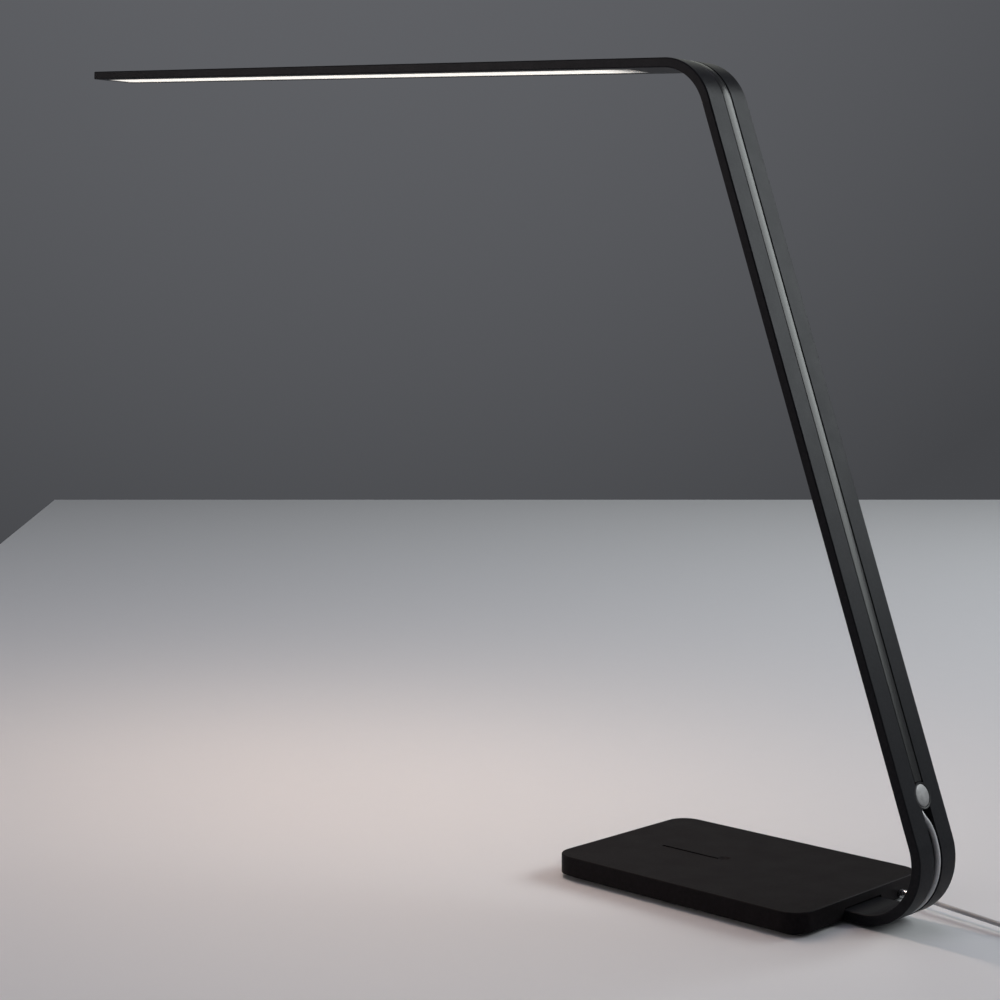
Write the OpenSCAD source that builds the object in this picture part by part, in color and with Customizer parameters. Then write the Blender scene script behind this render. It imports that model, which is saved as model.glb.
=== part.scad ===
// Folded-bar LED desk lamp: one flat bar, bent twice, stands on a steel base plate.
// The foot of the bar lies in a slot under the plate, the stem leans back over it and
// the arm carries the light strip. A push button sits in the stem's outer face.
// Millimetres, +Z up. The origin is the middle of the base plate, on the table's surface.
// The arm points to -X and the stem stands at the +X end.

/* [Base plate] */
// Length of the base plate
plate_length = 177; // [160:1:220]
// Width of the base plate
plate_width = 122; // [112:1:160]
// Thickness of the steel plate
plate_thickness = 11.2; // [11:0.1:18]
// Corner radius of the plate, seen from above
plate_corner_radius = 13; // [9:1:28]
// Small bevel round the plate's top edge
plate_edge_bevel = 0.4; // [0.2:0.1:1]
// Thickness of the anti-slip sheet under the plate
pad_thickness = 2.6; // [2:0.1:4]
// How far the anti-slip sheet stays inside the plate's outline
pad_inset = 6; // [3:0.5:8]
// Chamfer round the mouth of the slot that the bar enters by
slot_mouth_chamfer = 1.3; // [0.5:0.1:1.6]
// Length of the line engraved in the plate's top
top_line_length = 41; // [30:1:60]
// Width of the line engraved in the plate's top
top_line_width = 2.2; // [1.4:0.1:3]
// Depth of the line and of the hollow at its end
top_line_depth = 0.6; // [0.3:0.1:1]
// Diameter of the hollow at the line's end
top_hollow_diameter = 8; // [5:0.5:10]

/* [Bent bar] */
// Width of the flat bar
bar_width = 35.7; // [32:0.1:42]
// Thickness of the flat bar
bar_thickness = 5.8; // [5.5:0.1:7]
// Bevel along the bar's edges
bar_edge_bevel = 0.8; // [0.3:0.05:1]
// Inside radius of the bend at the foot
lower_bend_radius = 31; // [24:1:42]
// Inside radius of the bend under the arm
upper_bend_radius = 32; // [20:1:42]
// How far the stem leans back from upright, in degrees
stem_lean = 19.7; // [12:0.1:24]
// How far the arm rises towards its tip, in degrees
arm_rise = 4.2; // [0:0.1:8]
// Height of the arm's top face where it would meet the stem's outer face
knee_height = 475.8; // [400:0.2:540]
// Length of the arm from that meeting point to its tip
arm_length = 593; // [480:1:640]
// Length of foot held in the plate's slot
foot_in_plate = 80; // [66:1:90]
// Length of straight foot seen between the plate and the bend
foot_showing = 10; // [4:0.5:20]
// How far the foot stands out under the plate
foot_proud = 1; // [0:0.1:1.2]
// Clearance between the foot's edges and the plate's slot, each side
foot_clearance = 0.15; // [0.1:0.05:0.3]
// Distance between the foot screws, across the foot
foot_screws_across = 22; // [20:0.5:23]
// Distance between the foot screws, along the foot
foot_screws_along = 40; // [26:1:50]

/* [Grooves and wiring] */
// Width of the groove in the bar's outer face
groove_width = 8.2; // [7.6:0.1:9]
// Depth of the groove above the button, which holds the light strip's wires
wire_groove_depth = 2.6; // [2.5:0.1:2.9]
// Depth of the groove below the button, which holds the supply cable
cable_groove_depth = 3.6; // [3.5:0.1:4]
// Diameter of the supply cable in the lower groove
cable_diameter = 3.2; // [2.6:0.1:3.3]
// Thickness of the twin cable in the upper groove
wire_diameter = 1.1; // [0.8:0.1:1.2]
// Width of the raised middle of the groove's cover strip
strip_crown_width = 5.2; // [3.5:0.1:6]
// Length of the scoop where the cable dives under the button
scoop_length = 8; // [5:0.5:10]

/* [Light strip] */
// Width of the diffuser in the arm's underside
diffuser_width = 20; // [18:0.5:26]
// Thickness of the diffuser
diffuser_thickness = 1; // [0.8:0.1:1.2]
// Distance from the knee to the start of the diffuser
diffuser_start = 58; // [42:1:70]
// Solid end of the arm beyond the diffuser
arm_end_margin = 7.5; // [4:0.5:15]
// Width of the light strip's circuit board
led_board_width = 15; // [12:0.5:16]
// Thickness of the light strip's circuit board
led_board_thickness = 0.8; // [0.6:0.1:0.9]
// Distance from one light chip to the next
led_pitch = 13.9; // [8.3:0.1:20]
// Length of a light chip, across the arm
led_chip_length = 3.5; // [2.8:0.1:5]
// Width of a light chip, along the arm
led_chip_width = 2.8; // [1.6:0.1:3]
// Height of a light chip
led_chip_height = 0.7; // [0.5:0.05:0.75]

/* [Push button] */
// Distance from the end of the lower bend to the middle of the button
button_above_bend = 25; // [22:1:60]
// Diameter of the button's cap
button_diameter = 12.4; // [11:0.1:14]
// How far the cap's dome stands proud of the bar
button_dome = 1; // [0.8:0.1:1.5]
// How far the button travels when pressed
button_travel = 0.6; // [0.3:0.05:0.6]
// Width of the ring round the cap
bezel_width = 1.1; // [1.1:0.05:1.8]
// Clearance between the cap and the ring
button_clearance = 0.15; // [0.1:0.05:0.2]

/* [Supply cord] */
// Diameter of the cord
cord_diameter = 2.8; // [2.4:0.1:3]
// Outside diameter of the metal bushing that the cord leaves by
bushing_diameter = 4.8; // [4.4:0.1:5.4]
// How far the bushing stands out of the plate's end
bushing_reach = 6; // [4:0.5:8]
// Distance of the bushing from the side of the board's cavity
bushing_inset = 5; // [4.5:0.5:8]
// Turns of the cord's coil, across its section and as many up
coil_turns_across = 4; // [4:1:5]
// Radius of the coil at the middle of its turns
coil_mean_radius = 15.5; // [14:0.5:17]
// Distance from the plate's end to the coil's middle
coil_distance = 107.5; // [104:0.5:112]

/* [Hidden] */
$fn = 96;

// A cut goes this far past the face it opens.
past = 1;
// A bend is drawn slimmer than the straights by this much on every side, and the
// straights lap over its ends, so that the joined solids never share a face.
skin = 0.02;
lap = 0.1;

// ---- Where the bar runs ----------------------------------------------------------
// Headings are angles in the XZ plane: 0 is +X and 90 is up. The bar's outer face is on
// the right-hand side of its run: under the foot, behind the stem and on top of the arm.
foot_z = pad_thickness - foot_proud;
stem_heading = 90 + stem_lean;
arm_heading = 180 - arm_rise;
lower_turn = stem_heading;
upper_turn = arm_heading - stem_heading;
lower_radius = lower_bend_radius + bar_thickness;
upper_radius = upper_bend_radius + bar_thickness;
lower_tangent = lower_radius * tan(lower_turn / 2);
upper_tangent = upper_radius * tan(upper_turn / 2);
plate_end = plate_length / 2;
foot_end = plate_end - foot_in_plate;
bend_start = plate_end + foot_showing;

function along(heading) = [cos(heading), 0, sin(heading)];
function outward(heading) = [sin(heading), 0, -cos(heading)];

heel = [bend_start + lower_tangent, 0, foot_z];
stem_line = (knee_height - foot_z) / cos(stem_lean);
knee = heel + stem_line * along(stem_heading);
stem_start = heel + lower_tangent * along(stem_heading);
stem_length = stem_line - lower_tangent - upper_tangent;
stem_end = stem_start + stem_length * along(stem_heading);
lower_centre = stem_start - lower_radius * outward(stem_heading);
upper_centre = stem_end - upper_radius * outward(stem_heading);
lower_arc = lower_radius * lower_turn * PI / 180;

// ---- Sizes that follow from the ones above ---------------------------------------
// Light strip, measured from the arm's underside
channel_step = (diffuser_width - led_board_width) / 2;
chip_gap = 0.1;
channel_depth = diffuser_thickness + led_chip_height + chip_gap + led_board_thickness;
window_length = 8;
window_end = diffuser_start + window_length;
diffuser_end = arm_length - arm_end_margin;
seat_gap = 0.1;
led_first = window_end + 6;
led_count = floor((diffuser_end - 4 - led_first) / led_pitch) + 1;
leds_per_resistor = 3;
resistor_size = [2, 1.2, 0.5];

// Button and switch, measured down from the bar's outer face
pocket_floor = 0.9;
pocket_depth = bar_thickness - pocket_floor;
pocket_diameter = button_diameter + 2 * (button_clearance + bezel_width);
bezel_depth = 1.1;
flange_thickness = 0.5;
flange_overlap = 1;
flange_top = bezel_depth + 0.1;
flange_bottom = flange_top + flange_thickness;
switch_board_thickness = 0.8;
switch_board_top = pocket_depth - switch_board_thickness;
switch_size = 6;
switch_top = flange_bottom + button_travel + 0.1;
switch_height = switch_board_top - switch_top;
stem_diameter = 3;
stem_grip = 0.2;
stem_bore_depth = stem_grip + button_travel + 0.1;

// Groove strip and wires, measured down from the bar's outer face
strip_base_top = 0.7;
strip_base_bottom = 1.2;
strip_end_gap = 0.2;
wire_spread = 0.9;

// Base plate, its cavity and its cover
plate_bottom = pad_thickness;
plate_top = plate_bottom + plate_thickness;
cavity_roof = 2.6;
cavity_length = 62;
cavity_width = 84;
cavity_radius = 5;
cavity_top = plate_top - cavity_roof;
cover_thickness = 1;
cover_border = 7;
cover_gap = 0.15;
screw_gap = 0.05;
cover_screw_inset = 3.8;
cable_relief = 7;
boss_height = 1.2;
boss_diameter = 6;
board_thickness = 1.6;
board_top = cavity_top - boss_height;
board_bottom = board_top - board_thickness;
board_gap = 1.5;
board_end_gap = 2;
board_foot_gap = 8;
board_length = cavity_length - board_foot_gap - board_end_gap;
board_width = cavity_width - 2 * board_gap;
board_right = foot_end - board_foot_gap;
board_centre = [board_right - board_length / 2, 0];
board_screw_inset = [12, 4];
board_screws_x = board_length - 2 * board_screw_inset[0];
board_screws_y = board_width - 2 * board_screw_inset[1];
top_line_start = [-51.5, -2.4];
terminal_size = [8, 6.4];
terminal_mouth = 2;
terminal_wall = 0.35;

// Cord bushing: it screws into the plate's end, above the table
bushing_thread = bushing_diameter - 0.3;
bushing_thread_length = 12;
bushing_wall = 0.4;
bushing_rim = 0.3;
slot_side_chamfer = 0.7;
bushing_offset = cavity_width / 2 - bushing_inset;
bushing_z = plate_bottom + bushing_wall + bushing_diameter / 2;
bushing_mouth = plate_end + bushing_reach;
relief_length = 9;
lead_gap = 0.3;
terminal_height = board_bottom - bushing_z + terminal_mouth / 2 + terminal_wall;

// ---- Small shapes that repeat ----------------------------------------------------
module rounded_outline(size, radius) {
    square([size[0] - 2 * radius, size[1]], center = true);
    square([size[0], size[1] - 2 * radius], center = true);
    for (x = [-1, 1], y = [-1, 1])
        translate([x * (size[0] / 2 - radius), y * (size[1] / 2 - radius)])
            circle(radius);
}

// A block with bevelled top edges on a rounded outline.
module bevelled_slab(size, radius, height, bevel) {
    rise = height - bevel;
    for (turned = [0, 1]) {
        long = size[turned] / 2;
        short = size[1 - turned] / 2 - radius;
        rotate([90, 0, 90 * turned])
            linear_extrude(2 * short, center = true)
                polygon([[-long, 0], [long, 0], [long, rise], [long - bevel, height],
                         [bevel - long, height], [-long, rise]]);
    }
    for (x = [-1, 1], y = [-1, 1])
        translate([x * (size[0] / 2 - radius), y * (size[1] / 2 - radius), 0])
            rotate_extrude()
                polygon([[0, 0], [radius, 0], [radius, rise], [radius - bevel, height],
                         [0, height]]);
}

// A countersunk screw with its head's face at z = 0 and its shank upwards.
module countersunk_screw(shank, head, length, socket) {
    head_height = (head - shank) / 2;
    difference() {
        rotate_extrude()
            polygon([[0, 0], [head / 2, 0], [shank / 2, head_height], [shank / 2, length],
                     [0, length]]);
        translate([0, 0, -past])
            cylinder(d = socket, h = past + head_height * 0.8, $fn = 6);
    }
}

// The hole that such a screw sits in.
module countersunk_hole(shank, head, length) {
    head_height = (head - shank) / 2;
    rotate_extrude()
        polygon([[0, -past], [head / 2 + screw_gap, -past], [head / 2 + screw_gap, 0],
                 [shank / 2 + screw_gap, head_height], [shank / 2 + screw_gap, length],
                 [0, length]]);
}

// Frames on the bar: +X along its run, +Z away from its outer face.
module in_stem() translate(stem_start) rotate([0, -stem_heading, 0]) children();
module in_arm() translate(knee) rotate([0, -arm_heading, 0]) children();

// A section drawn across the bar, carried straight or round a bend. In a section, x runs
// across the bar and y is the height above its outer face, so the bar has negative y.
module carry_straight(from, to)
    translate([from, 0, 0])
        rotate([0, 90, 0])
            rotate([0, 0, -90])
                linear_extrude(to - from)
                    mirror([1, 0])
                        children();

module carry_round(centre, radius, heading, turn) {
    translate(centre)
        rotate([90, 0, 0])
            rotate([0, 0, heading - 90])
                rotate_extrude(angle = turn)
                    translate([radius, 0])
                        rotate(-90)
                            children();
}

module carry_foot(from, to) translate([0, 0, foot_z]) carry_straight(from, to) children();
module carry_lower_bend() carry_round(lower_centre, lower_radius, 0, lower_turn) children();
module carry_stem(from, to) in_stem() carry_straight(from, to) children();
module carry_upper_bend()
    carry_round(upper_centre, upper_radius, stem_heading, upper_turn) children();
module carry_arm(from, to) in_arm() carry_straight(from, to) children();

// Frames with +Z out of the bar's outer face and +X back along its run.
module at_button()
    in_stem() translate([button_above_bend, 0, 0]) rotate([0, 180, 0]) children();
module on_arm(distance)
    in_arm() translate([distance, 0, 0]) rotate([0, 180, 0]) children();

// A closed tube swept along points: each ring keeps its side turned as the last one's.
function unit(v) = v / norm(v);
function tangents(points) = [
    for (i = [0:len(points) - 1])
        unit(points[min(i + 1, len(points) - 1)] - points[max(i - 1, 0)])
];
function first_side(tangent) =
    unit(cross(tangent, abs(tangent[2]) < 0.9 ? [0, 0, 1] : [1, 0, 0]));
function carried_sides(ways, i = 0, sides = []) =
    i == len(ways) ? sides :
    let (before = i == 0 ? first_side(ways[0]) : sides[i - 1],
         side = unit(before - (before * ways[i]) * ways[i]))
    carried_sides(ways, i + 1, concat(sides, [side]));

module tube(points, diameter, sides = 8) {
    ways = tangents(points);
    across = carried_sides(ways);
    rings = len(points);
    corners = [
        for (i = [0:rings - 1], k = [0:sides - 1])
            let (turn = 360 * k / sides, other = cross(ways[i], across[i]))
            points[i] + diameter / 2 * (cos(turn) * across[i] + sin(turn) * other)
    ];
    walls = [
        for (i = [0:rings - 2], k = [0:sides - 1])
            let (next = (k + 1) % sides, a = i * sides + k, b = i * sides + next)
            each [[a, a + sides, b + sides], [a, b + sides, b]]
    ];
    ends = [
        [for (k = [0:sides - 1]) k],
        [for (k = [0:sides - 1]) rings * sides - 1 - k]
    ];
    polyhedron(corners, concat(walls, ends), convexity = 8);
}

// Points between the chosen ones, on a smooth curve through them all.
function between(a, b, c, d, t) =
    0.5 * (2 * b + (c - a) * t + (2 * a - 5 * b + 4 * c - d) * t * t
           + (3 * b - a - 3 * c + d) * t * t * t);
function smooth(points, steps) = let (last = len(points) - 1) [
    for (i = [0:last - 1], j = [0:steps - 1])
        between(points[max(i - 1, 0)], points[i], points[i + 1],
                points[min(i + 2, last)], j / steps),
    points[last]
];

// A place on the bar: distance along its outer face from the start of the lower bend,
// distance across, and height above the outer face.
function on_bar(distance, across, height) =
    distance < 0 ? [bend_start + distance, across, foot_z - height] :
    distance < lower_arc ?
        let (turn = lower_turn * distance / lower_arc - 90)
        lower_centre + (lower_radius + height) * [cos(turn), 0, sin(turn)] + [0, across, 0] :
    stem_start + (distance - lower_arc) * along(stem_heading)
        + height * outward(stem_heading) + [0, across, 0];

// ---- Cord route ------------------------------------------------------------------
// The stiff cord leaves the bushing level, sinks to the table only near its coil, and
// leaves the coil from its top for the plug.
cord_rest = cord_diameter / 2;
cord_start = [bushing_mouth, bushing_offset, bushing_z];
coil_section = coil_turns_across * cord_diameter;
coil_inset = cord_rest;
coil_centre = [
    plate_end + coil_distance,
    bushing_offset - 12.3 + coil_mean_radius + coil_section / 2 - coil_inset,
    0
];
coil_start_y = coil_centre[1] - coil_mean_radius - coil_section / 2 + coil_inset;
cord_drop = bushing_z - cord_rest;
// each point: how far along the way to the coil, across, and how far down
cord_shares = [
    [0.06, 0.01, 0.01], [0.14, 0.08, 0.04], [0.225, 0.23, 0.07], [0.36, 0.42, 0.13],
    [0.5, 0.62, 0.19], [0.63, 0.8, 0.26], [0.74, 0.92, 0.48], [0.83, 0.98, 0.78],
    [0.92, 1, 0.98]
];
cord_way = coil_centre[0] - cord_start[0];
cord_route = concat(
    [cord_start],
    [for (p = cord_shares) [
        cord_start[0] + p[0] * cord_way,
        cord_start[1] + p[1] * (coil_start_y - cord_start[1]),
        cord_start[2] - p[2] * cord_drop
    ]],
    [[coil_centre[0], coil_start_y, cord_rest]]
);
plug_body_size = [24, 15.4, 7.6];
plug_x = coil_centre[0] + coil_mean_radius + coil_section / 2 - coil_inset;
tail_top = coil_section - cord_rest;
plug_axis_z = plug_body_size[2] / 2;
tail_route = [
    [plug_x, coil_centre[1], tail_top],
    [plug_x, coil_centre[1] + 7, tail_top - 0.4],
    [plug_x, coil_centre[1] + 14, tail_top - 2],
    [plug_x, coil_centre[1] + 21, tail_top - 4.1],
    [plug_x, coil_centre[1] + 27, plug_axis_z + 0.4],
    [plug_x, coil_centre[1] + 32, plug_axis_z]
];
plug_relief_length = 9;
plug_start = tail_route[5][1];
plug_body_start = plug_start + plug_relief_length;
plug_shell_size = [12, 4.5, 12];
plug_shell_wall = 0.35;
tie_thickness = 0.8;
tie_width = 7;
tie_angle = 125;

// ---- Base ------------------------------------------------------------------------
module cavity_outline(margin = 0)
    translate([foot_end - cavity_length / 2, 0])
        rounded_outline([cavity_length + 2 * margin, cavity_width + 2 * margin],
                        cavity_radius + margin);

module at_cover_screws() {
    // on the diagonal of each rounded corner
    reach = (cavity_radius + cover_border - cover_screw_inset) * cos(45) - cavity_radius;
    for (x = [-1, 1], y = [-1, 1])
        translate([
            foot_end - cavity_length / 2 + x * (cavity_length / 2 + reach),
            y * (cavity_width / 2 + reach),
            plate_bottom
        ])
            children();
}

module at_foot_screws()
    for (x = [-1, 1], y = [-1, 1])
        translate([
            foot_end + foot_in_plate / 2 + x * foot_screws_along / 2,
            y * foot_screws_across / 2,
            foot_z
        ])
            children();

module at_board_screws()
    for (x = [-1, 1], y = [-1, 1])
        translate([
            board_centre[0] + x * board_screws_x / 2,
            board_centre[1] + y * board_screws_y / 2,
            board_bottom
        ])
            children();

foot_screw = [4, 7.6, bar_thickness + 4.5];
cover_screw = [3, 5.6, cover_thickness + 4];
board_screw = [2.5, 5, board_thickness + boss_height + 0.7];

module top_line() {
    floor_z = plate_top - top_line_depth;
    hollow_radius = (top_hollow_diameter * top_hollow_diameter / 4
        + 4 * top_line_depth * top_line_depth) / (4 * top_line_depth);
    translate([top_line_start[0], top_line_start[1], floor_z]) {
        cylinder(d = top_line_width, h = top_line_depth + past);
        translate([0, -top_line_width / 2, 0])
            cube([top_line_length, top_line_width, top_line_depth + past]);
    }
    // the hollow is a little deeper than the line
    translate([top_line_start[0] + top_line_length + top_hollow_diameter / 4,
               top_line_start[1] + (top_hollow_diameter - top_line_width) / 2,
               plate_top + hollow_radius - 2 * top_line_depth])
        sphere(hollow_radius);
}

module base_plate() {
    color([0.09, 0.09, 0.09])
    difference() {
        union() {
            difference() {
                translate([0, 0, plate_bottom])
                    bevelled_slab([plate_length, plate_width], plate_corner_radius,
                                  plate_thickness, plate_edge_bevel);
                // cavity for the driver board
                translate([0, 0, plate_bottom - past])
                    linear_extrude(cavity_top - plate_bottom + past)
                        cavity_outline();
            }
            // bosses that the driver board hangs from
            at_board_screws()
                translate([0, 0, board_thickness])
                    cylinder(d = boss_diameter, h = boss_height + 0.5);
        }
        // recess for the cover
        translate([0, 0, plate_bottom - past])
            linear_extrude(cover_thickness + past)
                cavity_outline(cover_border);
        // slot for the bar's foot, open at the plate's end, where it is chamfered
        translate([foot_end - past, -bar_width / 2 - foot_clearance, foot_z - past])
            cube([foot_in_plate + 2 * past, bar_width + 2 * foot_clearance,
                  bar_thickness + past]);
        translate([plate_end, 0, foot_z + bar_thickness])
            rotate([0, 45, 0])
                cube([slot_mouth_chamfer * sqrt(2), bar_width, slot_mouth_chamfer * sqrt(2)],
                     center = true);
        for (side = [-1, 1])
            translate([plate_end, side * (bar_width / 2 + foot_clearance),
                       foot_z + bar_thickness / 2 - past])
                rotate([0, 0, 45])
                    cube([slot_side_chamfer * sqrt(2), slot_side_chamfer * sqrt(2),
                          bar_thickness + 2 * past], center = true);
        // bushing thread, its countersunk rim and the drilled way to the cavity
        translate([plate_end - bushing_thread_length, bushing_offset, bushing_z])
            rotate([0, 90, 0])
                cylinder(d = bushing_thread + 2 * screw_gap, h = bushing_thread_length + past);
        translate([plate_end - bushing_rim, bushing_offset, bushing_z])
            rotate([0, 90, 0])
                cylinder(d1 = bushing_diameter, d2 = bushing_diameter + 2 * bushing_rim,
                         h = bushing_rim + 0.01);
        translate([foot_end - past, bushing_offset, bushing_z])
            rotate([0, 90, 0])
                cylinder(d = cord_diameter + 2 * lead_gap,
                         h = foot_in_plate - bushing_thread_length + 2 * past);
        // tapped holes
        at_foot_screws()
            cylinder(d = foot_screw[0] + 2 * screw_gap, h = foot_screw[2] + 0.5);
        at_cover_screws()
            countersunk_hole(cover_screw[0], cover_screw[1], cover_screw[2] + 0.5);
        at_board_screws()
            cylinder(d = board_screw[0] + 2 * screw_gap, h = board_screw[2] + 0.5);
        top_line();
    }
}

module base_cover() {
    color([0.16, 0.16, 0.17])
    difference() {
        translate([0, 0, plate_bottom])
            linear_extrude(cover_thickness)
                difference() {
                    cavity_outline(cover_border - cover_gap);
                    // the foot passes the cover's edge, with the cable in its groove
                    translate([foot_end - cover_gap, -bar_width / 2 - foot_clearance])
                        square([cover_border + past, bar_width + 2 * foot_clearance]);
                    translate([foot_end - cable_relief, -groove_width / 2])
                        square([cable_relief, groove_width]);
                }
        at_cover_screws()
            countersunk_hole(cover_screw[0], cover_screw[1], cover_screw[2]);
    }
}

module cover_screws() {
    color([0.55, 0.55, 0.56])
    at_cover_screws()
        countersunk_screw(cover_screw[0], cover_screw[1], cover_screw[2], 2);
}

module foot_screws() {
    color([0.55, 0.55, 0.56])
    at_foot_screws()
        countersunk_screw(foot_screw[0], foot_screw[1], foot_screw[2], 2.5);
}

module anti_slip_pad() {
    color([0.05, 0.05, 0.05])
    difference() {
        linear_extrude(pad_thickness)
            rounded_outline([plate_length - 2 * pad_inset, plate_width - 2 * pad_inset],
                            plate_corner_radius - pad_inset);
        // channel for the foot and the cable that leaves it
        translate([foot_end - board_foot_gap, -bar_width / 2 - foot_clearance, foot_z])
            cube([plate_length, bar_width + 2 * foot_clearance, pad_thickness]);
    }
}

module driver_board() {
    color([0.05, 0.3, 0.15])
    difference() {
        translate([board_centre[0], board_centre[1], board_bottom])
            linear_extrude(board_thickness)
                rounded_outline([board_length, board_width], 1.5);
        at_board_screws()
            translate([0, 0, -past])
                cylinder(d = board_screw[0] + 0.4, h = board_thickness + 2 * past);
    }
}

module board_screws() {
    color([0.7, 0.7, 0.7])
    at_board_screws() {
        cylinder(d = board_screw[0], h = board_screw[2]);
        difference() {
            translate([0, 0, -1.5])
                cylinder(d = board_screw[1], h = 1.5);
            translate([0, 0, -1.5 - past])
                cylinder(d = 2, h = past + 0.8, $fn = 6);
        }
    }
}

module driver_inductor() {
    color([0.12, 0.12, 0.13])
    translate([board_centre[0] - 6, 16, board_bottom - 3.6])
        rotate_extrude()
            polygon([[0, 0], [4.8, 0], [4.8, 0.9], [4, 0.9], [4, 2.7], [4.8, 2.7],
                     [4.8, 3.6], [0, 3.6]]);
}

module driver_capacitor() {
    color([0.75, 0.75, 0.78])
    translate([board_centre[0] - 4, -20, board_bottom - 4]) {
        cylinder(d = 6.3, h = 3.2);
        translate([0, 0, 3.6])
            cube([6.6, 6.6, 0.8], center = true);
    }
}

module driver_chip() {
    color([0.08, 0.08, 0.08])
    translate([board_centre[0] + 4, -2, board_bottom]) {
        translate([0, 0, -0.8])
            cube([4, 5, 1.4], center = true);
        // legs, down both long sides
        for (side = [-1, 1], leg = [-1.5:1:1.5])
            translate([side * 2.5, leg * 1.2, -0.4])
                cube([1.4, 0.4, 0.8], center = true);
    }
}

// A screwless wire terminal under the board, with its mouth towards +X.
module terminal(offset, mouth, mouth_z) {
    translate([board_right, offset, board_bottom])
        difference() {
            translate([-terminal_size[0], -terminal_size[1] / 2, -terminal_height])
                cube([terminal_size[0], terminal_size[1], terminal_height]);
            translate([-3, 0, mouth_z - board_bottom])
                rotate([0, 90, 0])
                    cylinder(d = mouth, h = 3 + past);
        }
}

module input_terminal() {
    color([0.1, 0.35, 0.2])
    terminal(bushing_offset, terminal_mouth, bushing_z);
}

module output_terminal() {
    color([0.1, 0.35, 0.2])
    terminal(0, terminal_mouth, board_bottom - terminal_height / 2);
}

module input_lead() {
    color([0.55, 0.55, 0.56])
    translate([board_right, bushing_offset, bushing_z])
        rotate([0, 90, 0])
            cylinder(d = cord_diameter, h = bushing_mouth - board_right);
}

module cord_bushing() {
    radius = bushing_diameter / 2;
    color([0.82, 0.82, 0.84])
    translate([plate_end, bushing_offset, bushing_z])
        rotate([0, 90, 0])
            difference() {
                rotate_extrude()
                    polygon([
                        [0, -bushing_thread_length], [bushing_thread / 2, -bushing_thread_length],
                        [bushing_thread / 2, 0.1], [radius - 0.2, 0.1], [radius, 0.3],
                        [radius, bushing_reach - 0.4], [radius - 0.4, bushing_reach],
                        [0, bushing_reach]
                    ]);
                translate([0, 0, -bushing_thread_length - past])
                    cylinder(d = cord_diameter + lead_gap,
                             h = bushing_thread_length + bushing_reach + 2 * past);
            }
}

module cord_relief() {
    inner = cord_diameter / 2 + 0.05;
    color([0.07, 0.07, 0.07])
    translate([bushing_mouth, bushing_offset, bushing_z])
        rotate([0, 90, 0])
            rotate_extrude()
                polygon([
                    [inner, 0], [bushing_diameter / 2 - 0.5, 0],
                    [bushing_diameter / 2 - 0.5, 1], [inner + 0.35, relief_length],
                    [inner, relief_length]
                ]);
}

// ---- Bent bar --------------------------------------------------------------------
module bar_section(groove_depth, inset = 0) {
    half = bar_width / 2 - inset;
    top = -inset;
    bottom = inset - bar_thickness;
    bevel = bar_edge_bevel;
    groove = groove_width / 2 + inset;
    difference() {
        polygon([
            [bevel - half, top], [-half, top - bevel], [-half, bottom + bevel],
            [bevel - half, bottom], [half - bevel, bottom], [half, bottom + bevel],
            [half, top - bevel], [half - bevel, top]
        ]);
        if (groove_depth > 0)
            translate([-groove, -groove_depth - inset])
                square([2 * groove, groove_depth + past]);
    }
}

module folded_bar() {
    color([0.1, 0.1, 0.11])
    difference() {
        union() {
            carry_foot(foot_end, bend_start + lap) bar_section(cable_groove_depth);
            carry_lower_bend() bar_section(cable_groove_depth, skin);
            carry_stem(-lap, button_above_bend) bar_section(cable_groove_depth);
            carry_stem(button_above_bend, stem_length + lap) bar_section(wire_groove_depth);
            carry_upper_bend() bar_section(wire_groove_depth, skin);
            carry_arm(upper_tangent - lap, window_end) bar_section(wire_groove_depth);
            carry_arm(window_end, arm_length) bar_section(0);
        }
        // pocket for the button, and the scoop where the cable dives under it
        at_button() {
            translate([0, 0, -pocket_depth])
                cylinder(d = pocket_diameter, h = pocket_depth + past);
            translate([0, -groove_width / 2, -pocket_depth])
                cube([pocket_diameter / 2 + scoop_length - groove_width / 2, groove_width,
                      pocket_depth + past]);
            translate([pocket_diameter / 2 + scoop_length - groove_width / 2, 0, -pocket_depth])
                cylinder(d = groove_width, h = pocket_depth + past);
        }
        // stepped channel for the light strip in the arm's underside
        carry_arm(diffuser_start, diffuser_end)
            translate([-diffuser_width / 2, -bar_thickness - past])
                square([diffuser_width, diffuser_thickness + past]);
        carry_arm(diffuser_start + channel_step, diffuser_end - channel_step)
            translate([-led_board_width / 2 - seat_gap, -bar_thickness - past])
                square([led_board_width + 2 * seat_gap, channel_depth + past]);
        // window where the groove's wires come down to the light strip
        carry_arm(diffuser_start + channel_step, window_end)
            translate([-groove_width / 2, -bar_thickness - past])
                square([groove_width, bar_thickness + 2 * past]);
        at_foot_screws()
            countersunk_hole(foot_screw[0], foot_screw[1], foot_screw[2]);
    }
}

module strip_section(inset = 0) {
    base = groove_width / 2 - seat_gap - inset;
    crown = strip_crown_width / 2 - inset;
    bottom = inset - strip_base_bottom;
    translate([-base, bottom])
        square([2 * base, strip_base_bottom - strip_base_top - 2 * inset]);
    // the raised middle has a slightly domed face, level with the bar
    intersection() {
        translate([-crown, bottom])
            square([2 * crown, -bottom]);
        translate([0, -strip_crown_width])
            circle(strip_crown_width - inset);
    }
}

module groove_strip() {
    color([0.3, 0.3, 0.31])
    union() {
        carry_stem(button_above_bend + pocket_diameter / 2 + strip_end_gap, stem_length + lap)
            strip_section();
        carry_upper_bend() strip_section(skin);
        carry_arm(upper_tangent - lap, window_end - strip_end_gap) strip_section();
    }
}

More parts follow.
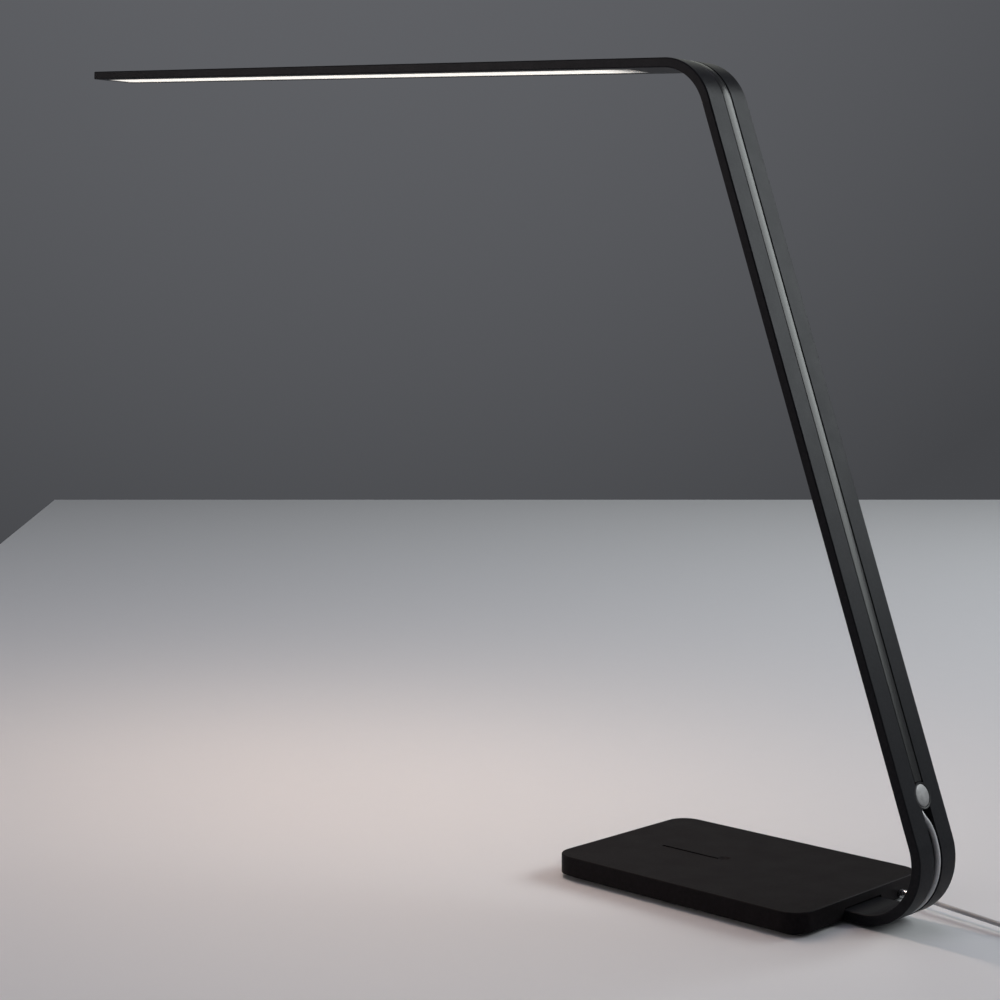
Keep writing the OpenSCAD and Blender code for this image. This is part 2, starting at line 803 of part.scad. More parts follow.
// A flat twin cable: two round-cornered wires with a web between them.
module twin_section(inset = 0) {
    for (side = [-1, 1])
        translate([side * wire_spread, -wire_groove_depth + wire_diameter / 2 + seat_gap])
            circle(d = wire_diameter - 2 * inset, $fn = 12);
    translate([-wire_spread, -wire_groove_depth + wire_diameter / 2 + seat_gap - 0.2 + inset])
        square([2 * wire_spread, 0.4 - 2 * inset]);
}

module led_wires() {
    color([0.6, 0.1, 0.1])
    union() {
        carry_stem(button_above_bend + pocket_diameter / 2, stem_length + lap) twin_section();
        carry_upper_bend() twin_section(skin);
        carry_arm(upper_tangent - lap, window_end - 2) twin_section();
    }
}

// ---- Light strip -----------------------------------------------------------------
board_face = -bar_thickness + diffuser_thickness + led_chip_height + chip_gap;

module led_board() {
    color([0.9, 0.9, 0.88])
    carry_arm(window_end + seat_gap, diffuser_end - channel_step - seat_gap)
        translate([-led_board_width / 2, board_face])
            square([led_board_width, led_board_thickness]);
}

module led_chips() {
    color([0.95, 0.85, 0.5])
    for (i = [0:led_count - 1])
        on_arm(led_first + i * led_pitch)
            translate([-led_chip_width / 2, -led_chip_length / 2, board_face - led_chip_height])
                cube([led_chip_width, led_chip_length, led_chip_height]);
}

module led_resistors() {
    color([0.1, 0.1, 0.1])
    for (i = [0:leds_per_resistor:led_count - 2])
        on_arm(led_first + (i + 0.5) * led_pitch)
            translate([-resistor_size[0] / 2, led_board_width / 2 - 3, board_face - resistor_size[2]])
                cube(resistor_size);
}

module led_diffuser() {
    color([1, 0.98, 0.9])
    carry_arm(diffuser_start + seat_gap, diffuser_end - seat_gap)
        translate([seat_gap - diffuser_width / 2, -bar_thickness])
            square([diffuser_width - 2 * seat_gap, diffuser_thickness - seat_gap]);
}

// ---- Button and switch -----------------------------------------------------------
module button_cap() {
    radius = button_diameter / 2;
    dome_radius = (radius * radius + button_dome * button_dome) / (2 * button_dome);
    color([0.8, 0.8, 0.82])
    at_button()
        rotate_extrude() {
            intersection() {
                translate([0, -flange_top])
                    square([radius, flange_top + button_dome]);
                translate([0, button_dome - dome_radius])
                    circle(dome_radius);
            }
            translate([0, -flange_bottom])
                square([radius + flange_overlap, flange_thickness]);
        }
}

module button_bezel() {
    inner = button_diameter / 2 + button_clearance;
    outer = pocket_diameter / 2 - screw_gap;
    color([0.35, 0.35, 0.37])
    at_button()
        rotate_extrude()
            polygon([
                [inner, -bezel_depth], [outer, -bezel_depth], [outer, 0],
                [inner + 0.3, 0], [inner, -0.3]
            ]);
}

// The switch's own stem: the cap rests on it and presses it down.
module switch_stem() {
    color([0.85, 0.85, 0.82])
    at_button()
        translate([0, 0, -switch_top - stem_grip])
            cylinder(d = stem_diameter, h = switch_top + stem_grip - flange_bottom);
}

module switch_body() {
    color([0.12, 0.12, 0.12])
    at_button()
        difference() {
            translate([-switch_size / 2, -switch_size / 2, -switch_board_top])
                cube([switch_size, switch_size, switch_height]);
            translate([0, 0, -switch_top - stem_bore_depth])
                cylinder(d = stem_diameter + 2 * screw_gap, h = stem_bore_depth + past);
        }
}

module switch_board() {
    color([0.05, 0.3, 0.15])
    at_button()
        translate([0, 0, -pocket_depth])
            cylinder(d = pocket_diameter - 4 * seat_gap, h = switch_board_thickness);
}

// The supply cable leaves the button's pocket, crosses the groove and follows its far
// side round the bend and along the foot to the driver's output terminal.
module groove_cable() {
    radius = cable_diameter / 2;
    button_at = lower_arc + button_above_bend;
    pocket_edge = button_at - pocket_diameter / 2;
    rest = radius - cable_groove_depth + screw_gap;
    side = groove_width / 2 - radius - seat_gap;
    foot_at = foot_end - bend_start;
    terminal_height_here = foot_z - (board_bottom - terminal_height / 2);
    terminal_at = board_right + lead_gap - bend_start;
    lower_points = [
        [terminal_at, 0, terminal_height_here],
        [terminal_at + 1.5, 0, terminal_height_here],
        [terminal_at + 4, 0, (terminal_height_here + rest) / 2],
        [foot_at, 0, rest]
    ];
    upper_points = [
        [pocket_edge - scoop_length - 6, side, rest],
        [pocket_edge - scoop_length, 0.4 * side, rest],
        [pocket_edge - scoop_length / 2, -0.5 * side, rest - 0.4],
        [pocket_edge - 0.3, -0.8 * side, radius - pocket_depth + 0.15]
    ];
    foot_steps = 8;
    bend_steps = 22;
    bend_end = pocket_edge - scoop_length - 6;
    route = concat(
        lower_points,
        [for (i = [1:foot_steps - 1]) let (share = i / foot_steps)
            [foot_at * (1 - share), side * share, rest]],
        [for (i = [0:bend_steps - 1]) [bend_end * i / bend_steps, side, rest]],
        upper_points
    );
    color([0.55, 0.55, 0.56])
    tube(smooth([for (p = route) on_bar(p[0], p[1], p[2])], 2), cable_diameter);
}

// ---- Supply cord -----------------------------------------------------------------
module power_cord() {
    color([0.55, 0.55, 0.56])
    tube(smooth(cord_route, 2), cord_diameter);
}

module power_cord_coil() {
    half = coil_section / 2;
    corner = cord_diameter / 2;
    color([0.55, 0.55, 0.56])
    translate(coil_centre)
        rotate_extrude()
            translate([coil_mean_radius, half])
                rounded_outline([coil_section, coil_section], corner);
}

module power_cord_tail() {
    color([0.55, 0.55, 0.56])
    tube(smooth(tail_route, 3), cord_diameter);
}

// The tie squeezes the coil where it passes under it.
module coil_tie() {
    inner = [coil_section + 0.2, coil_section - tie_thickness + 0.1];
    outer = [inner[0] + 2 * tie_thickness, inner[1] + 2 * tie_thickness];
    color([0.05, 0.05, 0.05])
    translate(coil_centre)
        rotate([0, 0, tie_angle])
            translate([coil_mean_radius, 0, outer[1] / 2])
                rotate([90, 0, 0])
                    linear_extrude(tie_width, center = true)
                        difference() {
                            rounded_outline(outer, 1.6);
                            rounded_outline(inner, 1);
                        }
}

module at_plug(y)
    translate([plug_x, y, plug_body_size[2] / 2])
        rotate([-90, 0, 0])
            children();

module plug_relief() {
    color([0.07, 0.07, 0.07])
    at_plug(plug_start)
        rotate_extrude()
            polygon([
                [0, 0], [cord_diameter / 2 + 0.5, 0], [3.1, plug_relief_length - 0.5],
                [3.1, plug_relief_length], [0, plug_relief_length]
            ]);
}

module plug_body() {
    color([0.07, 0.07, 0.07])
    at_plug(plug_body_start)
        linear_extrude(plug_body_size[0])
            rounded_outline([plug_body_size[1], plug_body_size[2]], 2);
}

module plug_shell() {
    color([0.8, 0.8, 0.82])
    at_plug(plug_body_start + plug_body_size[0])
        difference() {
            linear_extrude(plug_shell_size[2])
                rounded_outline([plug_shell_size[0], plug_shell_size[1]], 0.6);
            translate([0, 0, 0.5])
                linear_extrude(plug_shell_size[2])
                    rounded_outline([plug_shell_size[0] - 2 * plug_shell_wall,
                                     plug_shell_size[1] - 2 * plug_shell_wall], 0.3);
            // the two latch windows in the upper face
            for (x = [-1, 1])
                translate([x * 2.8, -plug_shell_size[1] / 2, 6.5])
                    cube([2.2, 2, 2.2], center = true);
        }
}

module plug_insert() {
    inner_height = plug_shell_size[1] - 2 * plug_shell_wall;
    color([0.9, 0.9, 0.9])
    at_plug(plug_body_start + plug_body_size[0])
        translate([0, inner_height / 2 - 1, 0.5])
            linear_extrude(plug_shell_size[2] - 1)
                square([plug_shell_size[0] - 2 * plug_shell_wall - 0.2, 1.9], center = true);
}

base_plate();
base_cover();
cover_screws();
anti_slip_pad();
foot_screws();
driver_board();
board_screws();
driver_inductor();
driver_capacitor();
driver_chip();
input_terminal();
output_terminal();
input_lead();
cord_bushing();
cord_relief();
folded_bar();
groove_strip();
led_wires();
led_board();
led_chips();
led_resistors();
led_diffuser();
button_cap();
button_bezel();
switch_stem();
switch_body();
switch_board();
groove_cable();
power_cord();
power_cord_coil();
power_cord_tail();
coil_tie();
plug_relief();
plug_body();
plug_shell();
plug_insert();
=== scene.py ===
# %% [markdown]
# # A desk lamp bent from one flat bar
# The lamp is a black aluminium bar on a black steel plate. The bar is bent twice: once at
# the foot and once under the arm. The construction model already has every piece in its
# place, so this lesson loads it first. Then it sets up the camera, the cord, the finishes,
# the pieces that deserve finer modelling, and the studio.

# %% Load the construction model
import math

import bmesh
import bpy
from mathutils import Matrix, Vector


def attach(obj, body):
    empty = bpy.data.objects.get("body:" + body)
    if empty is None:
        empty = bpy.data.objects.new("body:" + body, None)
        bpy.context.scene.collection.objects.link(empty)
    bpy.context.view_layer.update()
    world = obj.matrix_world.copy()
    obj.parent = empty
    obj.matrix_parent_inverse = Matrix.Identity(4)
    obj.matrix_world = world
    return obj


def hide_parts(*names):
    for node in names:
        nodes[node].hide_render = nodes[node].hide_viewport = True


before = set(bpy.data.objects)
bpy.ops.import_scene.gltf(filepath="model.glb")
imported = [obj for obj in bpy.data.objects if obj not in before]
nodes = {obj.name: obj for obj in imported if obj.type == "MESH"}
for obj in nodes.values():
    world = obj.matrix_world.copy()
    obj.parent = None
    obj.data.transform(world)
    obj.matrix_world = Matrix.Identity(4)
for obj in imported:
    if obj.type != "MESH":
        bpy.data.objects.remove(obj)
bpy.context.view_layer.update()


# %% [markdown]
# ## Where the bar runs
# Everything that follows the bar needs to know its line: the foot is level, the stem
# leans back by 19.7 degrees and the arm rises by 4.2 degrees. The numbers are the same as
# in the construction model, in metres here. The bar's outer face is under the foot, behind
# the stem and on top of the arm, and both bend radii are measured to it.

# %% Name the bar's line
BAR_WIDTH = 0.0357
BAR_THICKNESS = 0.0058
FOOT_HEIGHT = 0.0016
FOOT_END = 0.0085
LEAN = math.radians(19.7)
RISE = math.radians(4.2)
LOWER_RADIUS = 0.0368
UPPER_RADIUS = 0.0378
BEND_START = 0.0985
KNEE_HEIGHT = 0.4758
ARM_LENGTH = 0.593
BUTTON_ABOVE_BEND = 0.025

lower_turn = math.pi / 2 + LEAN
upper_turn = math.pi / 2 - RISE - LEAN
lower_tangent = LOWER_RADIUS * math.tan(lower_turn / 2)
upper_tangent = UPPER_RADIUS * math.tan(upper_turn / 2)
lower_arc = LOWER_RADIUS * lower_turn
stem_turn = math.pi / 2 + LEAN
stem_way = Vector((-math.sin(LEAN), 0, math.cos(LEAN)))
stem_out = Vector((math.cos(LEAN), 0, math.sin(LEAN)))
arm_way = Vector((-math.cos(RISE), 0, math.sin(RISE)))
arm_out = Vector((math.sin(RISE), 0, math.cos(RISE)))
heel = Vector((BEND_START + lower_tangent, 0, FOOT_HEIGHT))
stem_line = (KNEE_HEIGHT - FOOT_HEIGHT) / math.cos(LEAN)
knee = heel + stem_line * stem_way
arm_tip = knee + ARM_LENGTH * arm_way
stem_start = heel + lower_tangent * stem_way
stem_length = stem_line - lower_tangent - upper_tangent
lower_centre = Vector((BEND_START, 0, FOOT_HEIGHT + LOWER_RADIUS))
upper_centre = stem_start + stem_length * stem_way - UPPER_RADIUS * stem_out
button_centre = stem_start + BUTTON_ABOVE_BEND * stem_way
print("knee at", [round(v, 4) for v in knee], "stem", round(stem_length, 4), "long")

# %% [markdown]
# Three small helpers make places on the bar. The first gives a point from its distance
# along the outer face, its place across the bar and its height above that face. The second
# gives a frame with X along the bar and Z away from its outer face, so that a piece can be
# made at the origin and then put where it belongs. The third draws a smooth line through a
# few chosen points, in the way the construction model does.

# %% Helpers for places on the bar
def on_bar(distance, across, height):
    if distance < 0:
        return Vector((BEND_START + distance, across, FOOT_HEIGHT - height))
    if distance < lower_arc:
        turn = lower_turn * distance / lower_arc - math.pi / 2
        arm = LOWER_RADIUS + height
        return lower_centre + Vector((arm * math.cos(turn), across, arm * math.sin(turn)))
    place = stem_start + (distance - lower_arc) * stem_way + height * stem_out
    return place + Vector((0, across, 0))


def frame_at(place, way, out):
    turned = Matrix((way, out.cross(way), out)).transposed().to_4x4()
    return Matrix.Translation(place) @ turned


def smooth_line(points, steps):
    last = len(points) - 1
    line = []
    for i in range(last):
        a, b = points[max(i - 1, 0)], points[i]
        c, d = points[i + 1], points[min(i + 2, last)]
        for j in range(steps):
            t = j / steps
            line.append(0.5 * (
                2 * b + (c - a) * t + (2 * a - 5 * b + 4 * c - d) * t * t
                + (3 * b - a - 3 * c + d) * t ** 3
            ))
    return line + [points[last]]


at_button = frame_at(button_centre, stem_way, stem_out)
print("button at", [round(v, 4) for v in button_centre])

# %% [markdown]
# ## The camera
# A long lens keeps the upright lines nearly parallel. It stands a little above the middle
# of the stem, in front and to the right, and looks slightly down.

# %% Set the camera
VIEW_TURN = math.radians(44.24)
VIEW_DOWN = math.radians(5.21)

camera = bpy.data.objects.new("camera", bpy.data.cameras.new("camera"))
bpy.context.scene.collection.objects.link(camera)
camera.location = (0.6786, -0.8934, 0.3269)
camera.rotation_euler = (math.pi / 2 - VIEW_DOWN, 0, VIEW_TURN)
camera.data.lens = 70.2
camera.data.sensor_width = 36
camera.data.clip_start = 0.01
bpy.context.scene.camera = camera
bpy.context.scene.view_settings.view_transform = "Standard"
print("camera set at", tuple(camera.location))

# %% [markdown]
# ## The supply cord
# A cord is a fixed length of something flexible, so it is drawn as one line with a round
# section. It leaves the bushing level, sinks to the table and runs to a neat coil. The coil
# is wound as a real one is: a flat spiral inwards, one diameter up, a flat spiral outwards,
# and so on. The last turn leaves from the top and comes down to the plug.

# %% Draw the cord's line
CORD = 0.0028
COIL_MIDDLE = Vector((0.196, 0.0444, 0))
OUTER_TURN = 0.0197
INNER_TURN = 0.0113
SPIRAL_TURNS = 3
STEP_TURNS = 0.75

table_run = [Vector(p) for p in (
    (0.0945, 0.0370, 0.00540), (0.1006, 0.03688, 0.00536), (0.1087, 0.03602, 0.00524),
    (0.1173, 0.03417, 0.00512), (0.1310, 0.03183, 0.00488), (0.1453, 0.02937, 0.00464),
    (0.1585, 0.02716, 0.00436), (0.1696, 0.02568, 0.00348), (0.1788, 0.02495, 0.00228),
    (0.1879, 0.02470, 0.00148), (0.1960, 0.02470, 0.00140),
)]
plug_run = [Vector(p) for p in (
    (0.2157, 0.0444, 0.0098), (0.2157, 0.0514, 0.0094), (0.2157, 0.0584, 0.0078),
    (0.2157, 0.0654, 0.0057), (0.2157, 0.0714, 0.0042), (0.2157, 0.0764, 0.0038),
)]


def coil_line():
    """Four flat spirals, one on another, with part of a turn between each two."""
    points, turn, per_turn = [], -0.25, 24
    for layer in range(4):
        inwards = layer % 2 == 0
        low = CORD / 2 + layer * CORD
        for i in range(SPIRAL_TURNS * per_turn):
            share = i / (SPIRAL_TURNS * per_turn)
            share = share if inwards else 1 - share
            radius = OUTER_TURN + (INNER_TURN - OUTER_TURN) * share
            points.append((turn + i / per_turn, radius, low))
        turn += SPIRAL_TURNS
        steps = round(STEP_TURNS * per_turn) if layer < 3 else 1
        radius = INNER_TURN if inwards else OUTER_TURN
        for i in range(steps):
            climb = math.sin(math.pi / 2 * i / steps)
            points.append((turn + i / per_turn, radius, low + CORD * climb * (layer < 3)))
        turn += STEP_TURNS if layer < 3 else 0
    return [
        COIL_MIDDLE + Vector((r * math.cos(math.tau * t), r * math.sin(math.tau * t), z))
        for t, r, z in points
    ]


cord_points = smooth_line(table_run, 4)[:-1] + coil_line() + smooth_line(plug_run, 3)[1:]

# %% [markdown]
# A curve with a round bevel gives the tube its skin. The curve is turned into a mesh at
# once, because a mesh has a true outline to measure and to export. The same helper makes
# the cable in the bar's groove later.

# %% Turn a line into a round cord
def round_cord(name, points, diameter):
    curve = bpy.data.curves.new(name + "_line", "CURVE")
    curve.dimensions = "3D"
    spline = curve.splines.new("POLY")
    spline.points.add(len(points) - 1)
    for point, place in zip(spline.points, points):
        point.co = (*place, 1)
    curve.bevel_depth = diameter / 2
    curve.bevel_resolution = 5
    curve.use_fill_caps = True
    line = bpy.data.objects.new(name + "_line", curve)
    bpy.context.scene.collection.objects.link(line)
    bpy.context.view_layer.update()
    mesh = bpy.data.meshes.new_from_object(
        line.evaluated_get(bpy.context.evaluated_depsgraph_get())
    )
    bpy.data.objects.remove(line)
    for face in mesh.polygons:
        face.use_smooth = len(face.vertices) == 4
    cord = bpy.data.objects.new(name, mesh)
    bpy.context.scene.collection.objects.link(cord)
    return cord


supply_cord = round_cord("supply_cord", cord_points, CORD)
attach(supply_cord, "lamp")
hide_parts("power_cord", "power_cord_coil", "power_cord_tail")
print("supply cord drawn:", len(supply_cord.data.polygons), "faces")

# %% [markdown]
# ## Finishes
# A finish is a small network of nodes. All of these read Object coordinates, so a grain
# keeps its real size in millimetres and stays put on every piece. Numbers that are the
# same all over a surface are set on the shader's own sockets.

# %% Helpers for building a finish
def new_finish(name, colour, roughness, metallic=0.0, specular=0.5):
    """A Principled finish: returns the material, its node tree and its shader."""
    finish = bpy.data.materials.new(name)
    finish.use_nodes = True
    shader = finish.node_tree.nodes["Principled BSDF"]
    shader.inputs["Base Color"].default_value = (*colour, 1)
    shader.inputs["Roughness"].default_value = roughness
    shader.inputs["Metallic"].default_value = metallic
    shader.inputs["Specular IOR Level"].default_value = specular
    return finish, finish.node_tree, shader


def add_node(tree, kind, **values):
    node = tree.nodes.new("ShaderNode" + kind)
    for name, value in values.items():
        if name in node.inputs:
            node.inputs[name].default_value = value
        else:
            setattr(node, name, value)
    return node


def object_place(tree, scale):
    """Object coordinates in metres, stretched."""
    coordinates = add_node(tree, "TexCoord")
    mapping = add_node(tree, "Mapping")
    mapping.inputs["Scale"].default_value = scale
    tree.links.new(coordinates.outputs["Object"], mapping.inputs["Vector"])
    return mapping.outputs["Vector"]


def noise_of(tree, per_metre, detail):
    """Soft noise from 0 to 1, with so many grains per metre along each axis."""
    noise = add_node(tree, "TexNoise", Scale=1.0, Detail=detail)
    tree.links.new(object_place(tree, per_metre), noise.inputs["Vector"])
    return noise.outputs["Fac"]


def bump_from(tree, shader, height, depth):
    """Turns a height from 0 to 1 into a bump of that depth in metres."""
    bump = add_node(tree, "Bump", Strength=1.0, Distance=depth)
    tree.links.new(height, bump.inputs["Height"])
    tree.links.new(bump.outputs["Normal"], shader.inputs["Normal"])


def grain(tree, shader, per_metre, depth, detail=2.0):
    """A fine bump from noise."""
    bump_from(tree, shader, noise_of(tree, per_metre, detail), depth)


def map_range(tree, value, source, target=(0, 1), **settings):
    """Carries a value from one range over to another."""
    node = add_node(tree, "MapRange", **settings)
    ends = ("From Min", "From Max", "To Min", "To Max")
    for end, number in zip(ends, (*source, *target)):
        node.inputs[end].default_value = number
    tree.links.new(value, node.inputs["Value"])
    return node.outputs["Result"]


def vary(tree, shader, per_metre, low, high):
    """Lets the roughness wander between low and high over the surface."""
    spread = map_range(tree, noise_of(tree, per_metre, 3.0), (0.3, 0.7), (low, high))
    tree.links.new(spread, shader.inputs["Roughness"])


def mottle(tree, shader, dark, light, per_metre, detail=4.0):
    """Lets the colour wander a little between two shades."""
    ramp = add_node(tree, "ValToRGB")
    ramp.color_ramp.elements[0].position = 0.35
    ramp.color_ramp.elements[0].color = (*dark, 1)
    ramp.color_ramp.elements[1].position = 0.65
    ramp.color_ramp.elements[1].color = (*light, 1)
    tree.links.new(noise_of(tree, per_metre, detail), ramp.inputs["Fac"])
    tree.links.new(ramp.outputs["Color"], shader.inputs["Base Color"])


def paint(finish, *names):
    """Gives a finish to the construction model's own pieces."""
    for name in names:
        mesh = nodes[name].data
        mesh.materials.clear()
        mesh.materials.append(finish)


# %% [markdown]
# The bar is anodised after a fine bead blast: nearly black and matt, with an even grain
# that only shows where a lamp is mirrored at a shallow angle. The dye takes a little more
# in some places than in others, so both shade and gloss wander slightly.

# %% Black anodised bar
anodised, tree, shader = new_finish(
    "black_anodised", (0.0125, 0.0125, 0.014), 0.38, 0.0, 0.048
)
shader.inputs["Specular Tint"].default_value = (0.88, 0.9, 1.0, 1)
grain(tree, shader, (2600, 2600, 2600), 0.00003)
vary(tree, shader, (90, 90, 90), 0.36, 0.40)
mottle(tree, shader, (0.0105, 0.0105, 0.012), (0.0145, 0.0145, 0.0165), (700, 700, 700))
print("finish:", anodised.name)

# %% [markdown]
# The plate is steel with a powder coat. The melted powder leaves a very fine orange peel,
# which is a softer and larger grain than the blasted bar has.

# %% Black powder coat
powder, tree, shader = new_finish(
    "black_powder_coat", (0.008, 0.007, 0.0075), 0.56, 0.0, 0.06
)
shader.inputs["Specular Tint"].default_value = (1.0, 0.92, 1.0, 1)
grain(tree, shader, (1300, 1300, 1300), 0.00006, 3.0)
vary(tree, shader, (60, 60, 60), 0.54, 0.60)
mottle(tree, shader, (0.0065, 0.0056, 0.006), (0.0098, 0.0084, 0.0092), (500, 500, 500))
paint(powder, "base_plate")
print("finish:", powder.name)

# %% [markdown]
# The groove's cover strip is an extrusion with a satin black finish. It is smoother than
# the bar, so its low crown mirrors the large lamp behind as one bright band that weakens
# towards the button. The fine drawn lines run along it.

# %% Satin strip
drawn, tree, shader = new_finish("satin_strip", (0.015, 0.015, 0.016), 0.27, 0.0, 0.15)
grain(tree, shader, (60, 7000, 60), 0.000006)
vary(tree, shader, (40, 3000, 40), 0.23, 0.28)
print("finish:", drawn.name)

# %% [markdown]
# The button and its ring are turned on a lathe. Turning leaves fine rings round the axis.
# A Mapping node brings the button's middle to the origin and its axis upright, and then a
# Wave node in its ring form draws circles round that axis.

# %% Turned aluminium
def turned_rings(tree, shader, rings_per_metre, depth):
    coordinates = add_node(tree, "TexCoord")
    centre = add_node(tree, "VectorMath", operation="SUBTRACT")
    centre.inputs[1].default_value = button_centre
    upright = add_node(tree, "Mapping")
    upright.inputs["Rotation"].default_value = (0, LEAN - math.pi / 2, 0)
    tree.links.new(coordinates.outputs["Object"], centre.inputs[0])
    tree.links.new(centre.outputs["Vector"], upright.inputs["Vector"])
    wave = add_node(tree, "TexWave", wave_type="RINGS", rings_direction="Z")
    wave.inputs["Scale"].default_value = rings_per_metre
    wave.inputs["Distortion"].default_value = 0.6
    tree.links.new(upright.outputs["Vector"], wave.inputs["Vector"])
    bump_from(tree, shader, wave.outputs["Fac"], depth)


turned, tree, shader = new_finish("turned_aluminium", (0.2, 0.197, 0.2), 0.52, 0.5)
turned_rings(tree, shader, 1500, 0.000004)
vary(tree, shader, (500, 500, 500), 0.48, 0.56)
mottle(tree, shader, (0.17, 0.167, 0.17), (0.23, 0.227, 0.23), (420, 420, 420))

dark_ring, tree, shader = new_finish("dark_ring", (0.012, 0.012, 0.013), 0.34, 0.0, 0.15)
turned_rings(tree, shader, 1800, 0.000003)
print("finishes:", turned.name, dark_ring.name)

# %% [markdown]
# The bushing and the plug's shell are nickel plated, and the screws are zinc plated.
# Plating is smooth, but handling leaves it a little uneven in gloss.

# %% Plated metals
polished, tree, shader = new_finish("nickel_plate", (0.82, 0.82, 0.83), 0.26, 1.0)
vary(tree, shader, (900, 900, 900), 0.22, 0.32)
paint(polished, "plug_shell", "driver_capacitor")

steel, tree, shader = new_finish("zinc_steel", (0.5, 0.5, 0.5), 0.32, 1.0)
grain(tree, shader, (1800, 1800, 1800), 0.00002)
vary(tree, shader, (700, 700, 700), 0.28, 0.38)
paint(steel, "foot_screws", "cover_screws", "board_screws")

cover_steel, tree, shader = new_finish("cover_steel", (0.12, 0.12, 0.125), 0.4, 0.9)
grain(tree, shader, (120, 4000, 400), 0.00001)
mottle(tree, shader, (0.10, 0.10, 0.105), (0.14, 0.14, 0.145), (60, 2000, 60))
paint(cover_steel, "base_cover")
print("finishes: plated metals and the cover")

# %% [markdown]
# The anti-slip sheet is soft rubber with a fine moulded texture. The cord and the cable in
# the groove are the same kind: a pale grey sheath, smooth and slightly glossy, over a
# metal braid. The braid shows through a little as fine specks of light and dark.

# %% Rubber and sheaths
rubber, tree, shader = new_finish("black_rubber", (0.02, 0.02, 0.02), 0.7, 0.0, 0.35)
grain(tree, shader, (2200, 2200, 2200), 0.00005)
vary(tree, shader, (300, 300, 300), 0.64, 0.76)
paint(rubber, "anti_slip_pad")


def braided_sheath(name, dark, light):
    finish, tree, shader = new_finish(name, light, 0.34, 0.0, 0.5)
    mottle(tree, shader, dark, light, (2600, 2600, 2600), 1.0)
    vary(tree, shader, (600, 600, 600), 0.30, 0.38)
    return finish


sheath = braided_sheath("cord_sheath", (0.37, 0.375, 0.39), (0.47, 0.477, 0.495))
silver_sheath = braided_sheath("silver_sheath", (0.36, 0.36, 0.37), (0.44, 0.44, 0.45))
supply_cord.data.materials.append(sheath)
paint(sheath, "input_lead")
print("finishes: rubber and sheaths")

# %% [markdown]
# The plastics are moulded with a fine spark texture. The circuit boards are green and the
# wires to the light strip are red. Most of these pieces are inside.

# %% Moulded plastics and boards
moulded, tree, shader = new_finish("moulded_black", (0.018, 0.018, 0.019), 0.45)
grain(tree, shader, (2400, 2400, 2400), 0.00003)
vary(tree, shader, (400, 400, 400), 0.42, 0.5)
paint(moulded, "driver_chip", "switch_body", "driver_inductor", "led_resistors")

pale_plastic, tree, shader = new_finish("pale_plastic", (0.75, 0.75, 0.72), 0.5)
mottle(tree, shader, (0.72, 0.72, 0.69), (0.78, 0.78, 0.75), (300, 300, 300))
vary(tree, shader, (800, 800, 800), 0.45, 0.55)
paint(pale_plastic, "plug_insert", "switch_stem", "led_board", "led_chips")

board, tree, shader = new_finish("board_green", (0.02, 0.14, 0.06), 0.35)
mottle(tree, shader, (0.018, 0.12, 0.05), (0.024, 0.16, 0.07), (400, 400, 400))
paint(board, "driver_board", "switch_board", "input_terminal", "output_terminal")

red_wire, tree, shader = new_finish("red_wire", (0.4, 0.03, 0.03), 0.4)
mottle(tree, shader, (0.36, 0.025, 0.025), (0.44, 0.035, 0.035), (900, 900, 900))
paint(red_wire, "led_wires")
print("finishes: plastics and boards")

# %% [markdown]
# The diffuser glows. The light chips behind it are 13.9 mm apart and show as soft dots, so
# the glow's strength swings by a tenth with the distance along the arm. The chips stand in
# one row along the middle, so the glow also falls by a fifth towards both edges, and it
# fades out at both ends. The table is lit by a lamp of the same size and place, set up
# with the others below.

# %% Glowing diffuser
LED_PITCH = 0.0139
FIRST_LED = 0.072
LAST_LED = FIRST_LED + 36 * LED_PITCH
GLOW = 0.93
DOTS = 0.1
SIDE_LOSS = 0.2
SIDE_FADE = (0.0105, 0.005)
NEAR_FADE = (FIRST_LED - 0.014, FIRST_LED + 0.012)
FAR_FADE = (LAST_LED + 0.015, LAST_LED + 0.004)
glow, tree, shader = new_finish("glowing_diffuser", (0.55, 0.54, 0.5), 0.45)


def math_node(tree, operation, first, second=None, third=None):
    """One step of arithmetic, whose inputs are sockets or numbers."""
    node = add_node(tree, "Math", operation=operation)
    for place, value in enumerate((first, second, third)):
        if isinstance(value, bpy.types.NodeSocket):
            tree.links.new(value, node.inputs[place])
        elif value is not None:
            node.inputs[place].default_value = value
    return node.outputs["Value"]


def fade(tree, value, start, end):
    """Rises smoothly from 0 at start to 1 at end."""
    return map_range(tree, value, (start, end), interpolation_type="SMOOTHSTEP")


coordinates = add_node(tree, "TexCoord")
along_arm = add_node(tree, "VectorMath", operation="DOT_PRODUCT")
along_arm.inputs[1].default_value = arm_way
tree.links.new(coordinates.outputs["Object"], along_arm.inputs[0])
distance = math_node(tree, "SUBTRACT", along_arm.outputs["Value"], knee.dot(arm_way))
phase = math_node(tree, "MULTIPLY_ADD", distance, math.tau / LED_PITCH,
                  -math.tau * FIRST_LED / LED_PITCH)
dots = math_node(tree, "MULTIPLY_ADD", math_node(tree, "COSINE", phase), DOTS, 1 - DOTS)
parts = add_node(tree, "SeparateXYZ")
tree.links.new(coordinates.outputs["Object"], parts.inputs["Vector"])
off_middle = math_node(tree, "ABSOLUTE", parts.outputs["Y"])
over_width = math_node(
    tree, "MULTIPLY_ADD", fade(tree, off_middle, *SIDE_FADE), SIDE_LOSS, 1 - SIDE_LOSS
)
near_end = fade(tree, distance, *NEAR_FADE)
far_end = fade(tree, distance, *FAR_FADE)
strength = math_node(tree, "MULTIPLY", math_node(tree, "MULTIPLY", dots, over_width),
                     math_node(tree, "MULTIPLY", near_end, far_end))
strength = math_node(tree, "MULTIPLY", strength, GLOW)
